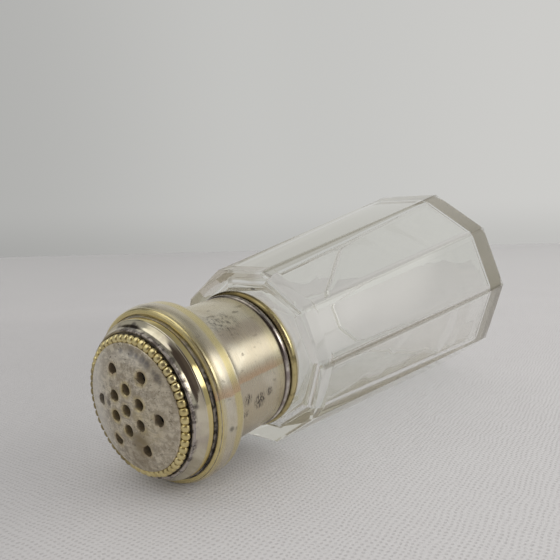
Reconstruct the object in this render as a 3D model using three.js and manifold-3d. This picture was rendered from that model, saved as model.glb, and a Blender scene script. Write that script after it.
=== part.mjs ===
// A ten-sided crystal sugar shaker lying on its side: tapered glass, cemented brass neck collar,
// and a silvered screw cap with a beaded ring and a perforated, slightly domed plate.
// Units are millimetres. Each piece is drawn upright, with the middle of the glass foot at the
// origin and the cap above it. The whole shaker is laid down at the end: one facet and the wide
// band of the cap touch the ground, +Z is up and the cap end faces -Y.

import * as THREE from 'three';
import { mergeVertices } from 'three/addons/utils/BufferGeometryUtils.js';
import Module from 'manifold-3d';

const wasm = await Module();
wasm.setup();

// Driving dimensions: glass
const facetCount = 10;
const footCorner = 35.5; // corner radius of the ten-sided foot
const shoulderCorner = 24.0; // corner radius of the ten-sided shoulder
const bodyHeight = 103.2;
const glassWall = 3.4;
const shoulderWall = 3.4;
const floorWall = 5.5;
const arris = 0.6; // polished bevel on the foot and shoulder edges
const cavityRounding = 4.0; // inner corners under the shoulder and above the floor
const neckHeight = 11.7;
const neckWall = 4.6;
const boreRadius = 8.0;
const neckRounding = 0.8;

// Driving dimensions: collar, cement and washer
const fitGap = 0.3; // clearance between touching pieces
const cementWall = 1.0;
const cementBedRadius = 17.6; // edge of the cement that squeezed out under the bead
const collarWall = 1.0;
const collarBeadRadius = 18.15; // outside of the rounded bead above the glass shoulder
const collarBeadRounding = 1.15; // depth of its rounded part
const collarBeadLift = 1.2; // underside of the bead above the glass
const collarBeadHeight = 2.1;
const collarLipWall = 0.9;
const washerThickness = 1.0;

// Driving dimensions: cap
const threadRingWall = 0.6;
const threadRingFlange = 0.8;
const flangeBoreRadius = 9.0;
const sheetWall = 0.8; // spun sheet of the sleeve, moulding and plate
const mouthGap = 0.65; // dark gap between the collar bead and the cap
const mouthWireRadius = 17.55; // outside of the half-round wire at the cap's mouth
const mouthWireRounding = 0.6; // depth of its rounded part
const mouthWireHeight = 1.5;
const cavettoStart = 20.6; // heights above the glass shoulder
const bandBack = 25.9;
const bandMiddle = 28.4;
const bandFront = 30.4;
const bandBackRadius = 20.7;
const bandMiddleRadius = 20.85;
const bandFrontRadius = 20.35;
const crestRounding = 0.9; // rounded front edge of the band
const backCrestRounding = 0.5; // rolled rear edge of the band
const grooveDepth = 1.55; // how far the dark groove lies inside the front crest
const grooveRise = 1.2;
const ledgeWidth = 2.2; // turned-in ledge that carries the top moulding
const crestRadius = 18.5; // widest edge of the top moulding
const crestRise = 0.7; // height of that edge above the foot of the moulding
const lipRadius = 16.65; // edge beside the beads
const lipRise = 4.1; // height of the edge above the ledge
const hollowDip = 0.22; // how far the moulding is hollowed between its edge and the lip
const beadCount = 55;
const beadCircle = 15.1;
const beadRise = 0.1; // middle of the beads above the lip
const beadHalfWidth = 0.95; // across the ring
const beadHalfRise = 0.9;
const beadNeck = 0.35; // waist between two beads, as a share of a bead
const beadSteps = 4;
const beadSides = 8;

// Driving dimensions: perforated plate
const plateRadius = 14.5;
const plateRimRadius = 13.85; // turned-down rim below the edge
const plateStand = 3.2; // middle of the plate above the middle of the beads
const domeRadius = 55.7;
const plateEdgeDrop = 0.2;
const holeRadius = 1.35;
const outerHoleCircle = 9.45;
const innerHoleCircle = 4.72;
const ringHoles = 6;
const outerHoleTurn = 56.2; // degrees
const innerHoleTurn = 25.5;

// Facets of the round pieces
const roundSteps = 52;
const innerSteps = 40;
const holeSteps = 12;

// Sizes that follow from the values above
const shoulder = bodyHeight;
const neckRadius = boreRadius + neckWall;
const cementInner = neckRadius + fitGap;
const cementOuter = cementInner + cementWall;
const collarInner = cementOuter + fitGap;
const collarOuter = collarInner + collarWall;
const collarBeadBottom = shoulder + collarBeadLift;
const collarBeadTop = collarBeadBottom + collarBeadHeight;
const neckTop = shoulder + neckHeight;
const collarLipBottom = neckTop + fitGap;
const collarTop = collarLipBottom + collarLipWall;
const washerBottom = collarTop + fitGap;
const washerTop = washerBottom + washerThickness;
const threadInner = collarOuter + fitGap;
const threadOuter = threadInner + threadRingWall;
const sleeveInner = threadOuter + fitGap;
const sleeveOuter = sleeveInner + sheetWall;
const capMouth = collarBeadTop + mouthGap;
const flangeBottom = washerTop + fitGap;
const flangeTop = flangeBottom + threadRingFlange;
const mouthWireTop = capMouth + mouthWireHeight;
const sleeveBottom = mouthWireTop + fitGap;
const ledgeTop = shoulder + bandFront + grooveRise;
const grooveRadius = bandFrontRadius - grooveDepth;
const ledgeInner = grooveRadius - ledgeWidth;
const mouldingFoot = ledgeTop + fitGap;
const lipHeight = ledgeTop + lipRise;
const beadMiddle = lipHeight + beadRise;
const channelFloor = beadMiddle - beadHalfRise - fitGap;
const channelOuter = beadCircle + beadHalfWidth + fitGap;
const plateRimBottom = channelFloor + fitGap;
const plateTop = beadMiddle + plateStand;
const plateEdge = domeHeight(plateRadius - plateEdgeDrop);

function radians(degrees) {
  return (degrees * Math.PI) / 180;
}

// Height of the plate's outer dome at a distance from the axis
function domeHeight(r) {
  return plateTop - (domeRadius - Math.sqrt(domeRadius * domeRadius - r * r));
}

// Points of an arc in the [radius, height] plane, ends included
function arc(centreR, centreZ, radiusR, radiusZ, fromDegrees, toDegrees, steps) {
  const points = [];
  for (let i = 0; i <= steps; i += 1) {
    const angle = radians(fromDegrees + ((toDegrees - fromDegrees) * i) / steps);
    points.push([centreR + radiusR * Math.cos(angle), centreZ + radiusZ * Math.sin(angle)]);
  }
  return points;
}

// A smooth curve through a few [radius, height] points
function through(points, steps) {
  const curve = new THREE.SplineCurve(points.map(([r, z]) => new THREE.Vector2(r, z)));
  return curve.getPoints(steps).map((p) => [p.x, p.y]);
}

// Turns a closed outline of [radius, height] points, given with its outside going up, about Z
function turned(outline, steps, firstDegrees = 0) {
  const points = outline.map(([r, z]) => new THREE.Vector2(r, z));
  const onAxis = outline[0][0] === 0 && outline[outline.length - 1][0] === 0;
  if (!onAxis) {
    points.push(points[0].clone());
  }
  const geometry = new THREE.LatheGeometry(points, steps, radians(firstDegrees));
  geometry.rotateX(Math.PI / 2);
  return geometry;
}

// The closed solid of a geometry, ready to join and cut
function solid(geometry) {
  const bare = geometry.clone();
  bare.deleteAttribute('normal');
  bare.deleteAttribute('uv');
  const merged = mergeVertices(bare, 1e-4);
  const index = merged.index.array;
  const triangles = [];
  for (let i = 0; i < index.length; i += 3) {
    const [a, b, c] = [index[i], index[i + 1], index[i + 2]];
    if (a !== b && b !== c && c !== a) {
      triangles.push(a, b, c);
    }
  }
  return new wasm.Manifold(new wasm.Mesh({
    numProp: 3,
    vertProperties: new Float32Array(merged.attributes.position.array),
    triVerts: new Uint32Array(triangles),
  }));
}

function geometryOf(manifold) {
  const mesh = manifold.getMesh();
  const geometry = new THREE.BufferGeometry();
  geometry.setAttribute('position', new THREE.BufferAttribute(mesh.vertProperties, 3));
  geometry.setIndex(new THREE.BufferAttribute(mesh.triVerts, 1));
  geometry.computeVertexNormals();
  return geometry;
}

function material(color, roughness, metalness, opacity = 1) {
  return new THREE.MeshStandardMaterial({
    color,
    roughness,
    metalness,
    opacity,
    transparent: opacity < 1,
  });
}

function piece(name, geometry, look) {
  const mesh = new THREE.Mesh(geometry, look);
  mesh.name = name;
  return mesh;
}

// Corner radius of the faceted outside at a height
function bodyCorner(z) {
  return footCorner + ((shoulderCorner - footCorner) * z) / bodyHeight;
}

// Hollow ten-sided glass with its round neck, bored right through to the cavity
function glassBody() {
  const turn = 180 / facetCount;
  const cornerPerWall = 1 / Math.cos(Math.PI / facetCount);
  const outside = turned([
    [0, 0],
    [bodyCorner(0) - arris, 0],
    [bodyCorner(arris), arris],
    [bodyCorner(shoulder - arris), shoulder - arris],
    [bodyCorner(shoulder) - arris, shoulder],
    [0, shoulder],
  ], facetCount, turn);
  const bottom = floorWall;
  const top = shoulder - shoulderWall;
  const inset = glassWall * cornerPerWall;
  const low = bottom + cavityRounding;
  const high = top - cavityRounding;
  const lowCorner = bodyCorner(low) - inset;
  const highCorner = bodyCorner(high) - inset;
  const cavity = turned([
    [0, bottom],
    ...arc(lowCorner - cavityRounding, low, cavityRounding, cavityRounding, -90, 0, 3),
    ...arc(highCorner - cavityRounding, high, cavityRounding, cavityRounding, 0, 90, 3),
    [0, top],
  ], facetCount, turn);
  const neck = turned([
    [0, shoulder - shoulderWall / 2],
    [neckRadius, shoulder - shoulderWall / 2],
    ...arc(neckRadius - neckRounding, neckTop - neckRounding, neckRounding, neckRounding, 0, 90, 2),
    [0, neckTop],
  ], innerSteps);
  const bore = turned([
    [0, top - cavityRounding],
    [boreRadius, top - cavityRounding],
    [boreRadius, neckTop + neckRounding],
    [0, neckTop + neckRounding],
  ], innerSteps);
  return geometryOf(solid(outside).add(solid(neck)).subtract(solid(cavity)).subtract(solid(bore)));
}

// Plaster that holds the collar on the glass neck and beds its bead on the shoulder
function collarCement() {
  return turned([
    [cementBedRadius, shoulder + fitGap],
    [cementBedRadius, collarBeadBottom - fitGap],
    [cementOuter, collarBeadBottom - fitGap],
    [cementOuter, neckTop - neckRounding],
    [cementInner, neckTop - neckRounding],
    [cementInner, shoulder + fitGap],
  ], innerSteps);
}

// Brass collar: threaded tube with a rounded bead below and a lip over the glass rim
function neckCollar() {
  const half = collarBeadHeight / 2;
  return turned([
    ...arc(collarBeadRadius - collarBeadRounding, collarBeadBottom + half, collarBeadRounding,
      half, -90, 90, 6),
    [collarOuter, collarBeadTop],
    [collarOuter, collarTop],
    [boreRadius + arris, collarTop],
    [boreRadius + arris, collarLipBottom],
    [collarInner, collarLipBottom],
    [collarInner, collarBeadBottom],
  ], roundSteps);
}

// Thin washer between the collar's lip and the flange of the cap's thread ring
function sealWasher() {
  return turned([
    [collarOuter, washerBottom],
    [collarOuter, washerTop],
    [flangeBoreRadius, washerTop],
    [flangeBoreRadius, washerBottom],
  ], innerSteps);
}

// Threaded brass liner soldered into the sleeve, with the flange that presses on the washer
function capThreadRing() {
  return turned([
    [threadOuter, capMouth + fitGap],
    [threadOuter, flangeTop],
    [flangeBoreRadius, flangeTop],
    [flangeBoreRadius, flangeBottom],
    [threadInner, flangeBottom],
    [threadInner, capMouth + fitGap],
  ], innerSteps);
}

// Bright half-round wire that stiffens the mouth of the sleeve
function mouthWire() {
  const half = mouthWireHeight / 2;
  return turned([
    ...arc(mouthWireRadius - mouthWireRounding, capMouth + half, mouthWireRounding, half,
      -90, 90, 6),
    [sleeveInner, mouthWireTop],
    [sleeveInner, capMouth],
  ], roundSteps);
}

// Spun sleeve that opens through a cavetto into the wide band and turns in to a ledge
function capSleeve() {
  const bandBackZ = shoulder + bandBack;
  const cavettoZ = shoulder + cavettoStart;
  const outerCavetto = arc(bandBackRadius, cavettoZ, bandBackRadius - sleeveOuter,
    bandBackZ - cavettoZ - sheetWall, 180, 100, 5);
  const backCrest = arc(bandBackRadius + fitGap / 2 - backCrestRounding, bandBackZ - backCrestRounding,
    backCrestRounding, backCrestRounding, -80, 50, 4);
  const band = through([
    [bandBackRadius, bandBackZ],
    [bandMiddleRadius, shoulder + bandMiddle],
    [bandFrontRadius, shoulder + bandFront],
  ], 5);
  const frontCrest = arc(bandFrontRadius - crestRounding, shoulder + bandFront, crestRounding,
    crestRounding, 25, 85, 3);
  const innerBand = [
    [bandFrontRadius - sheetWall, ledgeTop - 2 * sheetWall],
    [bandMiddleRadius - sheetWall, shoulder + bandMiddle],
    [bandBackRadius - sheetWall, bandBackZ],
  ];
  const innerCavetto = arc(bandBackRadius - sheetWall, cavettoZ, bandBackRadius - sleeveOuter,
    bandBackZ - cavettoZ, 95, 180, 4);
  return turned([
    [sleeveOuter, sleeveBottom],
    ...outerCavetto,
    ...backCrest,
    ...band,
    ...frontCrest,
    [grooveRadius, ledgeTop],
    [ledgeInner, ledgeTop],
    [ledgeInner, ledgeTop - sheetWall],
    [grooveRadius - sheetWall, ledgeTop - sheetWall],
    ...innerBand,
    ...innerCavetto,
    [sleeveInner, sleeveBottom],
  ], roundSteps);
}

// Polished hollowed moulding with the channel for the beads and the seat for the plate
function topMoulding() {
  const crestZ = mouldingFoot + crestRise;
  const crestEdge = arc(crestRadius - crestRise, crestZ, crestRise, crestRise, -75, 30, 4);
  const flankFoot = crestEdge[crestEdge.length - 1];
  const middle = [
    (flankFoot[0] + lipRadius) / 2 - hollowDip,
    (flankFoot[1] + lipHeight) / 2 - hollowDip,
  ];
  const seatInner = plateRimRadius - 2 * sheetWall;
  const innerFoot = crestRadius - crestRise - sheetWall;
  return turned([
    [crestRadius - crestRise, mouldingFoot],
    ...crestEdge,
    ...through([flankFoot, middle, [lipRadius, lipHeight]], 5).slice(1),
    [channelOuter, lipHeight],
    [channelOuter, channelFloor],
    [seatInner, channelFloor],
    [seatInner, channelFloor - sheetWall],
    [channelOuter - sheetWall, channelFloor - sheetWall],
    [innerFoot, crestZ],
    [innerFoot, mouldingFoot],
  ], roundSteps);
}

// Beaded wire: one closed ring whose round section swells at each bead
function beadRing() {
  const positions = [];
  const index = [];
  const rows = beadCount * beadSteps;
  for (let row = 0; row < rows; row += 1) {
    const share = Math.PI * ((row % beadSteps) / beadSteps);
    const along = (1 - Math.cos(share)) / 2;
    const turn = ((Math.floor(row / beadSteps) + along) / beadCount) * 2 * Math.PI;
    const swell = Math.max(beadNeck, Math.sin(share));
    for (let side = 0; side < beadSides; side += 1) {
      const angle = (side / beadSides) * 2 * Math.PI;
      const r = beadCircle + beadHalfWidth * swell * Math.cos(angle);
      const z = beadMiddle + beadHalfRise * swell * Math.sin(angle);
      positions.push(r * Math.cos(turn), r * Math.sin(turn), z);
      const nextRow = (row + 1) % rows;
      const nextSide = (side + 1) % beadSides;
      const a = row * beadSides + side;
      const b = nextRow * beadSides + side;
      const c = nextRow * beadSides + nextSide;
      const d = row * beadSides + nextSide;
      index.push(a, b, c, a, c, d);
    }
  }
  const geometry = new THREE.BufferGeometry();
  geometry.setAttribute('position', new THREE.Float32BufferAttribute(positions, 3));
  geometry.setIndex(index);
  geometry.computeVertexNormals();
  return geometry;
}

// Place and radius of every hole in the plate
function holePlan() {
  const holes = [{ circle: 0, turn: 0, radius: holeRadius }];
  for (let i = 0; i < ringHoles; i += 1) {
    const step = (360 / ringHoles) * i;
    holes.push({ circle: outerHoleCircle, turn: outerHoleTurn + step, radius: holeRadius });
    holes.push({ circle: innerHoleCircle, turn: innerHoleTurn + step, radius: holeRadius });
  }
  return holes;
}

// Domed plate with a turned-down rim, drilled through
function perforatedPlate() {
  const rimTop = plateEdge - sheetWall;
  const dome = [];
  const under = [];
  const steps = 5;
  for (let i = 0; i <= steps; i += 1) {
    const r = ((plateRadius - plateEdgeDrop) * (steps - i)) / steps;
    dome.push([r, domeHeight(r)]);
    under.unshift([Math.min(r, plateRimRadius - sheetWall), domeHeight(r) - sheetWall]);
  }
  let plate = solid(turned([
    ...under,
    [plateRimRadius - sheetWall, plateRimBottom],
    [plateRimRadius, plateRimBottom],
    [plateRimRadius, rimTop + sheetWall / 3],
    [plateRadius, plateEdge - plateEdgeDrop],
    ...dome,
  ], roundSteps));
  for (const hole of holePlan()) {
    const drill = new THREE.CylinderGeometry(hole.radius, hole.radius, 2 * plateRadius, holeSteps);
    drill.rotateX(Math.PI / 2);
    const turn = radians(hole.turn);
    drill.translate(hole.circle * Math.cos(turn), hole.circle * Math.sin(turn), plateTop);
    plate = plate.subtract(solid(drill));
  }
  return geometryOf(plate);
}

// Tilt that lays the shaker on its foot edge and on the wide band
function restingTilt() {
  const apothem = footCorner * Math.cos(Math.PI / facetCount);
  const touching = [
    [bandBackRadius, bandBack],
    [bandMiddleRadius, bandMiddle],
    [bandFrontRadius, bandFront],
  ];
  const slopes = touching.map(([r, z]) => (apothem - r) / (shoulder + z));
  return Math.atan(Math.min(...slopes));
}

const crystal = material(0xe6e9e4, 0.05, 0, 0.35);
const brass = material(0xb39a55, 0.35, 1);
const silverPlate = material(0xb9b2a2, 0.32, 1);
const polishedPlate = material(0xb6b0a4, 0.16, 1);
const dullPlate = material(0x97917f, 0.5, 0.9);
const plaster = material(0xd8d2c4, 0.9, 0);
const leather = material(0x7a5a3c, 0.85, 0);

const upright = new THREE.Group();
upright.add(
  piece('glass_body', glassBody(), crystal),
  piece('collar_cement', collarCement(), plaster),
  piece('neck_collar', neckCollar(), brass),
  piece('seal_washer', sealWasher(), leather),
  piece('cap_thread_ring', capThreadRing(), brass),
  piece('mouth_wire', mouthWire(), silverPlate),
  piece('cap_sleeve', capSleeve(), silverPlate),
  piece('top_moulding', topMoulding(), polishedPlate),
  piece('bead_ring', beadRing(), brass),
  piece('perforated_plate', perforatedPlate(), dullPlate),
);
upright.rotation.x = Math.PI / 2 + restingTilt();

// The origin is on the ground under the middle of the shaker's box
const shaker = new THREE.Group();
shaker.add(upright);
shaker.updateMatrixWorld(true);
const box = new THREE.Box3().setFromObject(shaker, true);
const middle = box.getCenter(new THREE.Vector3());
shaker.position.set(-middle.x, -middle.y, -box.min.z);

export default shaker;
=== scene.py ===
"""Looks of the crystal shaker: crystal glass, worn silver plate and brass, lying on white cloth."""

import math

import bmesh
import bpy
from mathutils import Matrix, Quaternion, Vector

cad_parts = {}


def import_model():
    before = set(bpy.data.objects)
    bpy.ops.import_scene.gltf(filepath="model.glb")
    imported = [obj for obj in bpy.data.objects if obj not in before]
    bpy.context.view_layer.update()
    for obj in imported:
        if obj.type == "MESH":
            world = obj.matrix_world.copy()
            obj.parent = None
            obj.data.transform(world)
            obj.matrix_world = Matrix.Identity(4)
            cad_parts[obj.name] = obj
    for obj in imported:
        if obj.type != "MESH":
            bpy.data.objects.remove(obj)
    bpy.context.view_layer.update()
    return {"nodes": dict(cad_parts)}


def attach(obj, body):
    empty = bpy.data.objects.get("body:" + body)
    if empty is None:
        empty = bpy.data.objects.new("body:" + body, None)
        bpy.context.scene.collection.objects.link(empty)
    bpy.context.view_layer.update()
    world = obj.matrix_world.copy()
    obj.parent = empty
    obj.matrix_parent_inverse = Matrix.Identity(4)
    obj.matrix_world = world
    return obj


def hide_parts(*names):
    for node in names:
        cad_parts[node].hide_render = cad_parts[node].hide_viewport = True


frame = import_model()

MM = 0.001

# Sizes in millimetres, as in the solids; heights of the metal are above the glass shoulder
# and those of the glass are above its foot
FACETS = 10
FOOT_CORNER = 35.5
SHOULDER_CORNER = 24.0
SHOULDER = 103.2
GLASS_WALL = 3.4
SHOULDER_WALL = 3.4
FLOOR_WALL = 5.5
NECK_RADIUS = 12.6
NECK_TOP = 11.7
BORE = 8.0
PITCH = 2.6
CAP_MOUTH = 3.95
WIRE_FOOT = CAP_MOUTH - 0.3
WIRE_TOP = 5.45
SLEEVE = 17.2
SHEET = 0.8
BEAD_CIRCLE = 15.1
BEADS = 55
BEAD_Z = 35.8
PLATE_TOP = 39.0
DOME = 55.7
PLATE_RADIUS = 14.5
OUTER_HOLES = (9.45, 56.2)  # radius of the circle of six holes, and its turn in degrees
INNER_HOLES = (4.72, 25.5)
HOLE_RADIUS = 1.33
HOLES = [(0.0, 0.0)] + [(circle, turn + 60 * k) for circle, turn in (OUTER_HOLES, INNER_HOLES)
                        for k in range(6)]

# Heights on the sleeve
FLANK = (5.0, 21.5)
REAR_ROLL = (22.5, 24.8)
BAND_BACK = (25.2, 27.2)
FRONT_CREST = (29.7, 31.0)
WORN_CREST = (30.5, 31.3)

# The laying of the upright drawing, from the foot's middle and the tilt of the axis
FOOT_MIDDLE = Vector((0.0, 69.271, 33.596)) * MM
TILT = math.radians(5.6038869)
TOWARDS_CAP = Vector((0.0, -math.cos(TILT), -math.sin(TILT)))
LOCAL_Y = Vector((0.0, -math.sin(TILT), math.cos(TILT)))
LAY = Matrix.Translation(FOOT_MIDDLE) @ Matrix((
    (1.0, 0.0, 0.0),
    (0.0, LOCAL_Y.y, TOWARDS_CAP.y),
    (0.0, LOCAL_Y.z, TOWARDS_CAP.z),
)).to_4x4()


# Profiles

def arc(cr, cz, rr, rz, start, stop, steps):
    """Points of an elliptic arc about (cr, cz), between two angles in degrees."""
    points = []
    for i in range(steps + 1):
        a = math.radians(start + (stop - start) * i / steps)
        points.append((cr + rr * math.cos(a), cz + rz * math.sin(a)))
    return points


def through(points, steps):
    """A smooth curve through a few points."""
    out = []
    last = len(points) - 1
    for i in range(steps + 1):
        t = i / steps * last
        k = min(int(t), last - 1)
        u = t - k
        p0, p1, p2, p3 = (points[max(0, min(last, k + d))] for d in (-1, 0, 1, 2))
        if k == 0:
            p0 = p1
        if k == last - 1:
            p3 = p2
        point = []
        for a, b, c, d in zip(p0, p1, p2, p3):
            v0, v1 = (c - a) / 2, (d - b) / 2
            cubic, square = 2 * b - 2 * c + v0 + v1, -3 * b + 3 * c - 2 * v0 - v1
            point.append(cubic * u ** 3 + square * u ** 2 + v0 * u + b)
        out.append(tuple(point))
    return out


def rounded(points, steps=4):
    """Closed outline whose corners given as (r, z, radius) become arcs."""
    out = []
    n = len(points)
    for i, p in enumerate(points):
        if len(p) == 2:
            out.append(p)
            continue
        here = Vector(p[:2])
        before = Vector(points[i - 1][:2]) - here
        after = Vector(points[(i + 1) % n][:2]) - here
        half = before.angle(after) / 2
        reach = min(p[2] / math.tan(half), before.length * 0.49, after.length * 0.49)
        a = here + before.normalized() * reach
        b = here + after.normalized() * reach
        for s in range(steps + 1):
            u = s / steps
            out.append(tuple(a * (1 - u) ** 2 + here * 2 * u * (1 - u) + b * u * u))
    return out


# Meshes

def object_from(name, bm, sharp=30.0):
    """An object of the mesh, smooth but for edges sharper than the given angle."""
    mesh = bpy.data.meshes.new(name)
    bmesh.ops.recalc_face_normals(bm, faces=bm.faces)
    for face in bm.faces:
        face.smooth = True
    bm.to_mesh(mesh)
    bm.free()
    mesh.set_sharp_from_angle(angle=math.radians(sharp))
    obj = bpy.data.objects.new(name, mesh)
    bpy.context.scene.collection.objects.link(obj)
    return obj


def bridge(bm, a, b):
    """Faces between two rings of points; a ring of one point is a pole."""
    steps = max(len(a), len(b))
    for k in range(steps):
        m = (k + 1) % steps
        if len(a) == 1:
            bm.faces.new((a[0], b[k], b[m]))
        elif len(b) == 1:
            bm.faces.new((a[k], a[m], b[0]))
        else:
            bm.faces.new((a[k], a[m], b[m], b[k]))


def turned(name, outline, steps=192, sharp=30.0, first=0.0, radius_of=None):
    """Turns a closed outline about the axis; radius_of may change a radius by height and angle."""
    bm = bmesh.new()
    rings = []
    for r, z in outline:
        if r < 1e-6:
            rings.append([bm.verts.new((0, 0, z * MM))])
            continue
        ring = []
        for k in range(steps):
            a = math.radians(first) + 2 * math.pi * k / steps
            q = radius_of(r, z, a) if radius_of else r
            ring.append(bm.verts.new((q * math.cos(a) * MM, q * math.sin(a) * MM, z * MM)))
        rings.append(ring)
    for a, b in zip(rings, rings[1:] + rings[:1]):
        if len(a) > 1 or len(b) > 1:
            bridge(bm, a, b)
    return object_from(name, bm, sharp)


def metal(name, outline, steps=224, sharp=32.0, radius_of=None):
    """A turned piece whose outline is given in heights above the glass shoulder."""
    raised = [(r, z + SHOULDER) for r, z in outline]
    return turned(name, raised, steps, sharp, 0.0, radius_of)


def combine(target, other, operation):
    """Joins the other object to the target, or cuts it away."""
    modifier = target.modifiers.new("combine", "BOOLEAN")
    modifier.operation = operation
    modifier.solver = "EXACT"
    modifier.object = other
    bpy.context.view_layer.update()
    graph = bpy.context.evaluated_depsgraph_get()
    mesh = bpy.data.meshes.new_from_object(target.evaluated_get(graph))
    target.modifiers.remove(modifier)
    target.data = mesh
    bpy.data.objects.remove(other)


def finish_piece(obj, node, body, material):
    """Lays the upright mesh down, gives it its look and puts it in the node's place."""
    obj.data.transform(LAY)
    obj.data.materials.clear()
    obj.data.materials.append(material)
    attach(obj, body)
    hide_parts(node)


# Node materials

class Graph:
    """Short calls for the nodes of one tree."""

    def __init__(self, tree):
        self.tree = tree
        tree.nodes.clear()

    def fill(self, socket, value):
        """Links the output of another node, or sets a plain value."""
        if isinstance(value, bpy.types.NodeSocket):
            self.tree.links.new(value, socket)
        else:
            socket.default_value = value

    def add(self, kind, inputs=None, **props):
        node = self.tree.nodes.new(kind)
        for key, value in props.items():
            setattr(node, key, value)
        for key, value in (inputs or {}).items():
            self.fill(node.inputs[key], value)
        return node

    def math(self, op, a, b=0.0, c=0.0):
        return self.add("ShaderNodeMath", {0: a, 1: b, 2: c}, operation=op).outputs[0]

    def vector(self, op, a, b=(0.0, 0.0, 0.0)):
        """A vector, or the number that a length, distance or dot product gives."""
        node = self.add("ShaderNodeVectorMath", {0: a, 1: b}, operation=op)
        return node.outputs["Value" if op in ("LENGTH", "DISTANCE", "DOT_PRODUCT") else "Vector"]

    def scaled(self, a, factor):
        node = self.add("ShaderNodeVectorMath", {0: a, "Scale": factor}, operation="SCALE")
        return node.outputs["Vector"]

    def ramp(self, value, low, high, to_low=0.0, to_high=1.0):
        """Goes smoothly from to_low to to_high while the value goes from low to high."""
        node = self.add("ShaderNodeMapRange", {0: value, 1: low, 2: high, 3: to_low, 4: to_high})
        node.interpolation_type = "SMOOTHSTEP"
        return node.outputs[0]

    def fall(self, value, low, high):
        return self.ramp(value, low, high, 1.0, 0.0)

    def band(self, value, low, high, soft):
        """1 between low and high, with soft borders."""
        up = self.ramp(value, low - soft, low + soft)
        down = self.fall(value, high - soft, high + soft)
        return self.times(up, down)

    def over(self, op, values):
        out = values[0]
        for value in values[1:]:
            out = self.math(op, out, value)
        return out

    def times(self, *values):
        return self.over("MULTIPLY", values)

    def plus(self, *values):
        return self.over("ADD", values)

    def most(self, *values):
        return self.over("MAXIMUM", values)

    def without(self, value):
        return self.math("SUBTRACT", 1.0, value)

    def above(self, value, limit):
        return self.math("GREATER_THAN", value, limit)

    def mix(self, fac, a, b):
        """Colour a where fac is 0 and colour b where it is 1."""
        node = self.add("ShaderNodeMix", {0: fac}, data_type="RGBA")
        for key, colour in ((6, a), (7, b)):
            self.fill(node.inputs[key], (*colour, 1.0) if isinstance(colour, tuple) else colour)
        return node.outputs[2]


class Look(Graph):
    """A node material; a laid piece has upright coordinates, heights above the glass shoulder."""

    def __init__(self, name, laid=True):
        self.material = bpy.data.materials.new(name)
        self.material.use_nodes = True
        super().__init__(self.material.node_tree)
        self.out = self.add("ShaderNodeOutputMaterial")
        self.shader = self.add("ShaderNodeBsdfPrincipled")
        self.show(self.shader)
        self.coords = self.add("ShaderNodeTexCoord").outputs["Object"]
        if laid:
            self.coords = self.add("ShaderNodeMapping", {
                "Vector": self.coords, "Location": FOOT_MIDDLE + TOWARDS_CAP * SHOULDER * MM,
                "Rotation": (math.pi / 2 + TILT, 0, 0)}, vector_type="TEXTURE").outputs[0]
        in_mm = self.scaled(self.coords, 1 / MM)
        self.x, self.y, self.z = self.add("ShaderNodeSeparateXYZ", {0: in_mm}).outputs
        self.r = self.math("SQRT", self.plus(self.times(self.x, self.x), self.times(self.y, self.y)))
        self.angle = self.math("ARCTAN2", self.y, self.x)

    def show(self, shader):
        self.tree.links.new(shader.outputs[0], self.out.inputs[0])

    def blend(self, fac, a, b):
        return self.add("ShaderNodeMixShader", {0: fac, 1: a.outputs[0], 2: b.outputs[0]})

    def clear(self, colour=(1.0, 1.0, 1.0)):
        return self.add("ShaderNodeBsdfTransparent", {0: (*colour, 1.0)})

    def noise(self, scale, detail=3.0, rough=0.5, vector=None, distortion=0.0):
        node = self.add("ShaderNodeTexNoise", {
            "Vector": vector or self.coords, "Scale": scale, "Detail": detail,
            "Roughness": rough, "Distortion": distortion})
        return node.outputs["Fac"]

    def wander(self, value, scale, amount):
        """The value moved to and fro by noise, so that a border isn't ruled."""
        shift = self.times(self.math("SUBTRACT", self.noise(scale), 0.5), amount)
        return self.plus(value, shift)

    def stretched(self, *scale):
        return self.add("ShaderNodeMapping", {"Vector": self.coords, "Scale": scale}).outputs[0]

    def around(self, per_turn, per_mm):
        """Coordinates that run round and along the axis, for brushing marks."""
        a = self.times(self.angle, per_turn)
        z = self.times(self.z, per_mm)
        r = self.times(self.r, per_mm)
        return self.add("ShaderNodeCombineXYZ", {0: a, 1: z, 2: r}).outputs[0]

    def sector(self, low, high, soft):
        """The part of a turned surface between two angles in degrees; soft is in radians."""
        return self.band(self.angle, math.radians(low), math.radians(high), soft)

    def blob(self, x, y, z, radius, soft):
        """One soft round patch about a point, in millimetres."""
        far = self.vector("DISTANCE", self.coords, (x * MM, y * MM, z * MM))
        return self.fall(far, (radius - soft) * MM, (radius + soft) * MM)

    def patch(self, angle, z, radius, size, soft):
        """A soft patch on a turned surface at an angle, height and radius."""
        a = math.radians(angle)
        return self.blob(radius * math.cos(a), radius * math.sin(a), z, size, soft)

    def patches(self, *rows):
        return self.most(*[self.patch(*row) for row in rows])

    # Dark grain for dirt, and for painted shade in recesses and inside the cap
    def dark_grain(self):
        grain = self.ramp(self.noise(800.0, 3.0, 0.6), 0.38, 0.62)
        return self.mix(grain, (0.03, 0.026, 0.024), (0.20, 0.18, 0.16))

    def set(self, **inputs):
        for key, value in inputs.items():
            self.fill(self.shader.inputs[key.replace("_", " ")], value)

    def bump(self, height, strength, distance):
        inputs = {"Height": height, "Strength": strength, "Distance": distance}
        self.fill(self.shader.inputs["Normal"], self.add("ShaderNodeBump", inputs).outputs[0])


BRASS = (0.68, 0.565, 0.26)
BRIGHT_BRASS = (0.86, 0.75, 0.42)


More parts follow.
